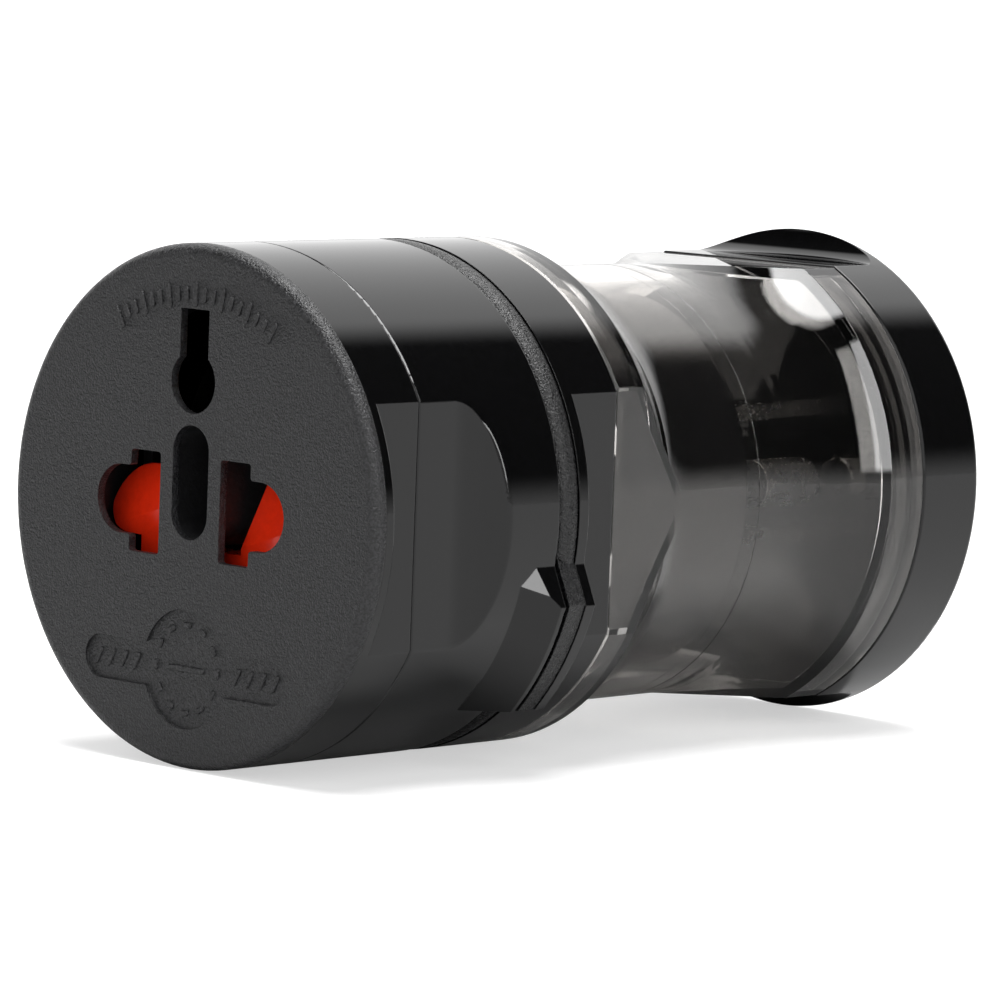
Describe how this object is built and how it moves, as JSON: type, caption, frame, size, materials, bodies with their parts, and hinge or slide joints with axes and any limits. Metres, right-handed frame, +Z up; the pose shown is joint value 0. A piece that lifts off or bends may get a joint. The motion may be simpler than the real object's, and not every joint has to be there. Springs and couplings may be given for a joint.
{
  "type": "universal travel adapter",
  "caption": "Barrel-shaped travel adapter with a shuttered multi-standard socket face, a grained grip band, a Euro plug module under a waisted smoke cover and a flat-blade plug end.",
  "frame": {"origin": "middle of the barrel's length and width, at the lowest point, where it lies on its side", "axes": "+Y along the barrel from the socket face to the far face, +X to the right across the socket face, +Z up with the earth hole above the line slots"},
  "size_m": [0.0526, 0.087, 0.05],
  "materials": {
    "face_matte": "fine moulded grain, matt",
    "gloss_black": "high gloss moulded",
    "band_grain": "grained, matt",
    "nose_black": "satin moulded",
    "inner_black": "plain moulded, matt",
    "shutter_red": "high gloss moulded",
    "smoke_clear": "clear smoke tint, polished",
    "sleeve_black": "moulded, satin",
    "pin_metal": "nickel plated, lightly brushed",
    "contact_brass": "bright pressed strip",
    "steel": "zinc plated"
  },
  "bodies": {
    "head": {"face_plate": "face_matte", "centre_shroud": "inner_black", "front_ring": "gloss_black", "main_housing": "gloss_black", "grip_band": "band_grain", "coupling_sleeve": "inner_black", "shutter_frame": "inner_black", "live_shroud": "inner_black", "neutral_shroud": "inner_black", "earth_shroud": "inner_black", "contact_carrier": "inner_black", "head_back_plate": "inner_black", "head_screws": "steel", "live_contact": "contact_brass", "neutral_contact": "contact_brass", "earth_contact": "contact_brass", "shutter_spring": "steel"},
    "shutter": {"shutter": "shutter_red"},
    "euro_module": {"euro_base": "gloss_black", "euro_deck": "inner_black", "euro_nose": "nose_black", "euro_pin_live": "pin_metal", "euro_pin_neutral": "pin_metal", "pin_sleeve_live": "sleeve_black", "pin_sleeve_neutral": "sleeve_black", "euro_contact_live": "contact_brass", "euro_contact_neutral": "contact_brass", "euro_screws": "steel"},
    "cover": {"smoke_cover": "smoke_clear"},
    "end_module": {"end_base": "gloss_black", "end_plate": "inner_black", "blade_upper": "pin_metal", "blade_lower": "pin_metal", "end_contact_upper": "contact_brass", "end_contact_lower": "contact_brass", "end_screws": "steel"}
  },
  "joints": [
    {"name": "shutter_slide", "type": "slide", "parent": "head", "child": "shutter", "axis": [0, 0, -1], "range_m": [0, 0.0084], "stiffness_N_per_m": 100, "springref_m": -0.002, "deforming": ["shutter_spring"]},
    {"name": "euro_slide", "type": "slide", "parent": "head", "child": "euro_module", "axis": [0, 1, 0], "range_m": [0, 0.012]},
    {"name": "cover_slide", "type": "slide", "parent": "euro_module", "child": "cover", "axis": [0, 1, 0], "range_m": [0, 0.045]},
    {"name": "end_slide", "type": "slide", "parent": "cover", "child": "end_module", "axis": [0, 1, 0], "range_m": [0, 0.02]}
  ]
}
